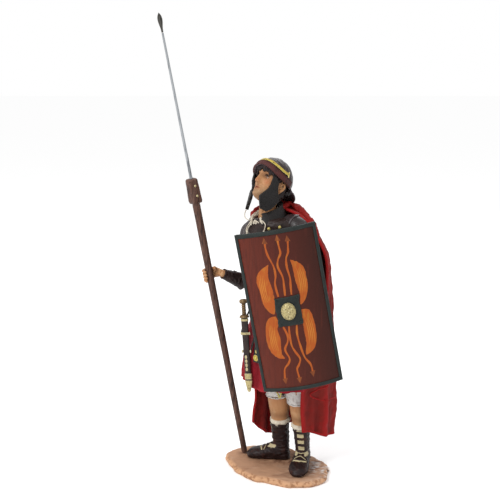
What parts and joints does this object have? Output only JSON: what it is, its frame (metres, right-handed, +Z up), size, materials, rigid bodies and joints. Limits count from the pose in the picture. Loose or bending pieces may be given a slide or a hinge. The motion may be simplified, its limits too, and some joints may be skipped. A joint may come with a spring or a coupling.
{
  "type": "roman soldier statue",
  "caption": "Standing figure of a legionary on an earth base, with cloak, armour, curved painted shield and a long throwing spear.",
  "frame": {"origin": "centre of the base's underside, which rests on a table or shelf", "axes": "+Z up; -Y towards the viewer of the reference view; the soldier looks towards -X and up"},
  "size_m": [0.1582, 0.112, 0.4141],
  "materials": {
    "painted_earth": "painted clay, sandy brown with darker stains",
    "painted_clay": "painted clay: skin, hair, linen sleeves and breeches, laced boots",
    "red_cloth": "stiffened red cloth, painted folds",
    "crimson_cloth": "stiffened crimson cloth, pleated",
    "brown_leather": "dark brown leather, worn edges",
    "black_leather": "near black leather",
    "brow_leather": "reddish brown leather",
    "grey_plate": "grey brown painted plate",
    "yellow_brass": "yellow brass, worn",
    "linen": "off-white linen",
    "pilum_wood": "dark stained wood with black streaks",
    "bright_steel": "bright steel rod",
    "dark_iron": "dark iron",
    "shield_paint": "red-brown paint with orange wings and wavy arrows",
    "shield_edge": "dark green-black paint",
    "boss_brass": "mottled cream gold"
  },
  "bodies": {
    "root": {"base": "painted_earth", "figure": "painted_clay", "cuirass": "brown_leather", "neck_scarf": "linen", "collar_lace_1": "linen", "collar_lace_2": "linen", "cuirass_stud_1": "yellow_brass", "cuirass_stud_2": "yellow_brass", "shoulder_guard_left": "grey_plate", "shoulder_guard_right": "grey_plate", "tunic_skirt": "crimson_cloth", "belt": "black_leather", "scabbard": "brown_leather", "scabbard_chape": "yellow_brass", "sword_hilt": "boss_brass", "vambrace_left": "black_leather", "vambrace_right": "black_leather", "cloak": "red_cloth", "helmet_bowl": "black_leather", "helmet_brow_band": "brow_leather", "helmet_brass_band": "yellow_brass", "cheek_guard_left": "black_leather", "cheek_guard_right": "black_leather", "cheek_tie": "linen", "shield_board": "shield_paint", "shield_rim": "shield_edge", "shield_boss_plate": "shield_edge", "shield_boss": "boss_brass", "shield_grip": "pilum_wood", "pilum_shaft": "pilum_wood", "pilum_block": "pilum_wood", "pilum_rivet_upper": "yellow_brass", "pilum_rivet_lower": "yellow_brass", "pilum_shank": "bright_steel", "pilum_point": "dark_iron", "apron_strap_1": "black_leather", "apron_pendant_1": "yellow_brass", "apron_strap_2": "black_leather", "apron_pendant_2": "yellow_brass", "apron_strap_3": "black_leather", "apron_pendant_3": "yellow_brass"}
  },
  "joints": []
}
